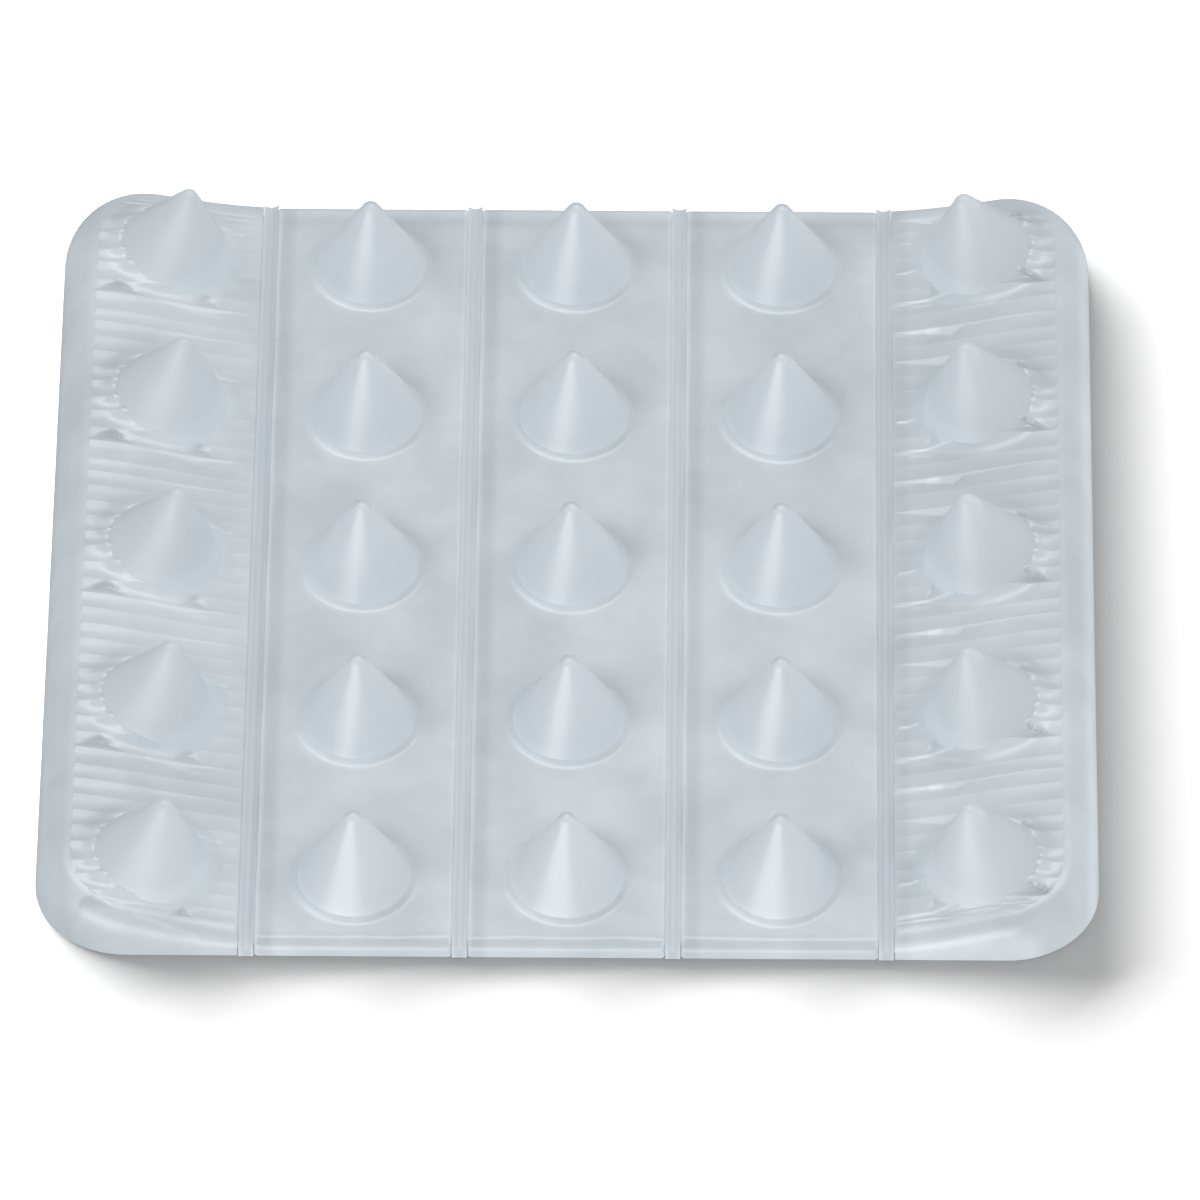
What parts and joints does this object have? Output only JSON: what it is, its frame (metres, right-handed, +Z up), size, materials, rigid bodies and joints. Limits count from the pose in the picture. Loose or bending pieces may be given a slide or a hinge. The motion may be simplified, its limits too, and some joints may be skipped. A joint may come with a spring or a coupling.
{
  "type": "snowboard stomp pad",
  "caption": "Clear moulded traction mat that sticks to a snowboard; blunt spikes grip the boot and thin webs between its strips let it fold and follow the board.",
  "frame": {"origin": "middle of the pad, on the surface its adhesive film lies on", "axes": "+Z up, away from the board; +Y along the strips and their folds; +X across the strips, to the right seen from the front"},
  "size_m": [0.127, 0.1236, 0.0155],
  "materials": {
    "clear_polyurethane": "satin",
    "spike_polyurethane": "satin",
    "web_polyurethane": "satin",
    "adhesive_film": "gloss"
  },
  "bodies": {
    "centre": {"centre_strip": "clear_polyurethane", "centre_spikes": "spike_polyurethane", "centre_adhesive": "adhesive_film", "inner_left_web": "web_polyurethane", "inner_right_web": "web_polyurethane"},
    "inner_left": {"inner_left_strip": "clear_polyurethane", "inner_left_spikes": "spike_polyurethane", "inner_left_adhesive": "adhesive_film", "outer_left_web": "web_polyurethane"},
    "inner_right": {"inner_right_strip": "clear_polyurethane", "inner_right_spikes": "spike_polyurethane", "inner_right_adhesive": "adhesive_film", "outer_right_web": "web_polyurethane"},
    "outer_left": {"outer_left_wedge": "clear_polyurethane", "outer_left_spikes": "spike_polyurethane", "outer_left_adhesive": "adhesive_film"},
    "outer_right": {"outer_right_wedge": "clear_polyurethane", "outer_right_spikes": "spike_polyurethane", "outer_right_adhesive": "adhesive_film"}
  },
  "joints": [
    {"name": "inner_left_fold", "type": "hinge", "parent": "centre", "child": "inner_left", "pos_m": [-0.0127, 0, 0.001], "axis": [0, 1, 0], "range_deg": [-35, 45], "stiffness_Nm_per_rad": 0.3, "deforming": ["inner_left_web"]},
    {"name": "inner_right_fold", "type": "hinge", "parent": "centre", "child": "inner_right", "pos_m": [0.0127, 0, 0.001], "axis": [0, -1, 0], "range_deg": [-35, 45], "stiffness_Nm_per_rad": 0.3, "deforming": ["inner_right_web"]},
    {"name": "outer_left_fold", "type": "hinge", "parent": "inner_left", "child": "outer_left", "pos_m": [-0.0381, 0, 0.001], "axis": [0, 1, 0], "range_deg": [-35, 45], "stiffness_Nm_per_rad": 0.3, "deforming": ["outer_left_web"]},
    {"name": "outer_right_fold", "type": "hinge", "parent": "inner_right", "child": "outer_right", "pos_m": [0.0381, 0, 0.001], "axis": [0, -1, 0], "range_deg": [-35, 45], "stiffness_Nm_per_rad": 0.3, "deforming": ["outer_right_web"]}
  ]
}
